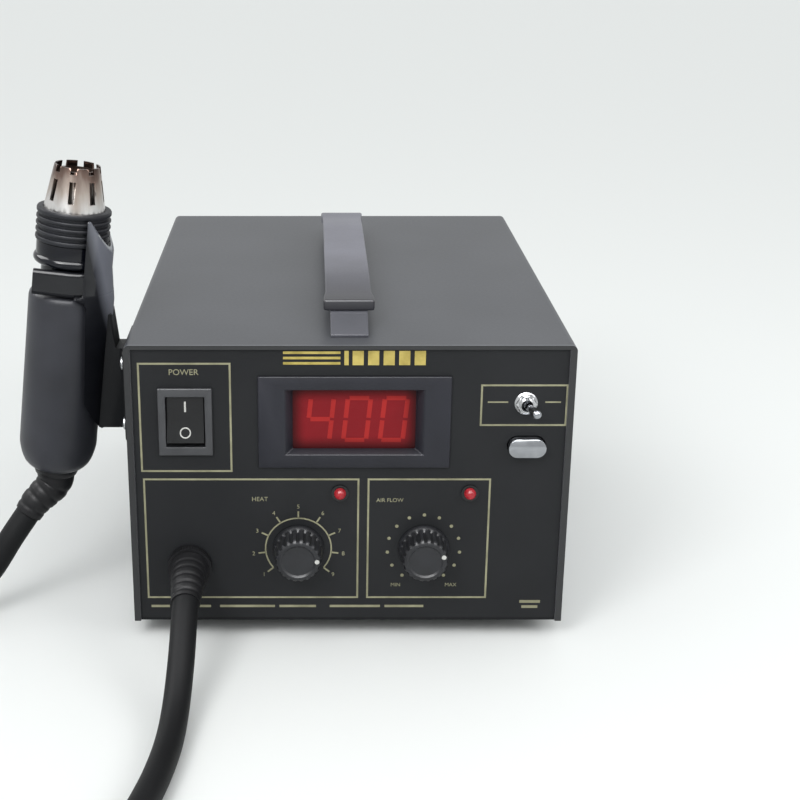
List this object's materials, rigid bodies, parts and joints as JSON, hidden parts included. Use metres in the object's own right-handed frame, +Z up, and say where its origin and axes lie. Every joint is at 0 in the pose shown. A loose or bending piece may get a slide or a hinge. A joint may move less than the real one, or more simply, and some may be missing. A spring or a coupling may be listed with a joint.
{
  "type": "hot air rework station",
  "caption": "Bench hot air soldering station: steel case with display, switches and dials, strap handle, side holder and a hosed hot air handpiece.",
  "frame": {"origin": "on the floor, under the middle of the box round the case and the handpiece together, without the hose", "axes": "+Z up, the front panel faces -Y, the handpiece hangs on the -X side"},
  "size_m": [0.3089, 0.526, 0.2049],
  "materials": {
    "cover_paint": "satin grey powder coat",
    "tray_steel": "matt dark grey powder coat",
    "panel_paint": "satin black with printed marks",
    "foot_rubber": "matt",
    "screw_steel": "zinc plated",
    "handle_plastic": "fine grain",
    "switch_plastic": "smooth",
    "surround_plastic": "fine grain",
    "filter_red": "clear red acrylic",
    "digit_plastic": "diffusing face",
    "board": "solder resist",
    "chrome": "polished",
    "nickel": "nickel plated",
    "knob_plastic": "fine grain",
    "lens_red": "translucent red",
    "gland_nylon": "moulded",
    "hose_rubber": "silicone skin",
    "bracket_steel": "matt black",
    "cradle_plastic": "polished black",
    "grip_plastic": "fine grain",
    "neck_plastic": "polished blue black",
    "collar_plastic": "fine grain",
    "guard_steel": "heat tinted stainless steel",
    "tube_steel": "heat tinted",
    "mica": "mica and ceramic former",
    "core_iron": "varnished laminations",
    "copper": "taped winding",
    "sink_alu": "extruded",
    "frame_steel": "pressed steel",
    "pump_rubber": "moulded",
    "tube_silicone": "clear silicone"
  },
  "bodies": {
    "casing": {"top_cover": "cover_paint", "base_tray": "tray_steel", "front_panel": "panel_paint", "rear_panel": "tray_steel", "rubber_feet": "foot_rubber", "foot_screws": "screw_steel", "case_screws": "screw_steel", "handle_feet": "handle_plastic", "handle_spans": "handle_plastic", "handle_screws": "screw_steel", "switch_body": "switch_plastic", "display_surround": "surround_plastic", "display_filter": "filter_red", "digit_module": "digit_plastic", "display_board": "board", "toggle_body": "nickel", "toggle_nut": "nickel", "button_switch": "switch_plastic", "heat_control": "nickel", "air_control": "nickel", "control_nuts": "nickel", "lamp_holders": "switch_plastic", "lamp_lenses": "lens_red", "hose_gland": "gland_nylon", "gland_nut": "gland_nylon", "outlet_boot": "hose_rubber", "front_hose": "hose_rubber", "hose_coil": "hose_rubber", "back_hose": "hose_rubber", "holder_bracket": "bracket_steel", "holder_cradle": "cradle_plastic", "holder_screws": "screw_steel", "transformer_core": "core_iron", "transformer_coil": "copper", "main_board": "board", "heat_sink": "sink_alu", "pump_frame": "frame_steel", "pump_magnet": "copper", "pump_head": "pump_rubber", "air_tube": "tube_silicone", "mains_inlet": "switch_plastic"},
    "rocker": {"switch_rocker": "switch_plastic"},
    "toggle": {"toggle_lever": "chrome"},
    "button": {"push_button": "chrome"},
    "heat_dial": {"heat_shaft": "nickel", "heat_knob": "knob_plastic"},
    "air_dial": {"air_shaft": "nickel", "air_knob": "knob_plastic"},
    "handle": {"handle_grip": "handle_plastic"},
    "handpiece": {"grip_front_shell": "grip_plastic", "grip_rear_shell": "grip_plastic", "grip_screws": "screw_steel", "neck_sleeve": "neck_plastic", "ribbed_collar": "collar_plastic", "heat_guard": "guard_steel", "heater_tube": "tube_steel", "heater_core": "mica", "tail_cap": "gland_nylon", "tail_boot": "hose_rubber"},
    "pump_armature": {"pump_arm": "frame_steel"}
  },
  "joints": [
    {"name": "rocker_tilt", "type": "hinge", "parent": "casing", "child": "rocker", "pos_m": [-0.04151, -0.11163, 0.1015], "axis": [1, 0, 0], "range_deg": [0, 18]},
    {"name": "toggle_swing", "type": "hinge", "parent": "casing", "child": "toggle", "pos_m": [0.10069, -0.11863, 0.1095], "axis": [0, 0, 1], "range_deg": [-24, 0]},
    {"name": "button_press", "type": "slide", "parent": "casing", "child": "button", "axis": [0, 1, 0], "range_m": [0, 0.0025], "stiffness_N_per_m": 300},
    {"name": "heat_turn", "type": "hinge", "parent": "casing", "child": "heat_dial", "pos_m": [0.00559, -0.11663, 0.043], "axis": [0, 1, 0], "range_deg": [-240, 60]},
    {"name": "air_turn", "type": "hinge", "parent": "casing", "child": "air_dial", "pos_m": [0.05959, -0.11663, 0.043], "axis": [0, 1, 0], "range_deg": [-225, 75]},
    {"name": "handle_lift", "type": "slide", "parent": "casing", "child": "handle", "axis": [0, 0, 1], "range_m": [0, 0.016], "deforming": ["handle_spans"]},
    {"name": "handpiece_pull", "type": "slide", "parent": "casing", "child": "handpiece", "axis": [-0.9925, 0, 0.1219], "range_m": [0, 0.045]},
    {"name": "armature_shake", "type": "hinge", "parent": "casing", "child": "pump_armature", "pos_m": [0.06919, -0.00813, 0.0187], "axis": [0, 0, 1], "range_deg": [-1.5, 1.5], "stiffness_Nm_per_rad": 2}
  ]
}
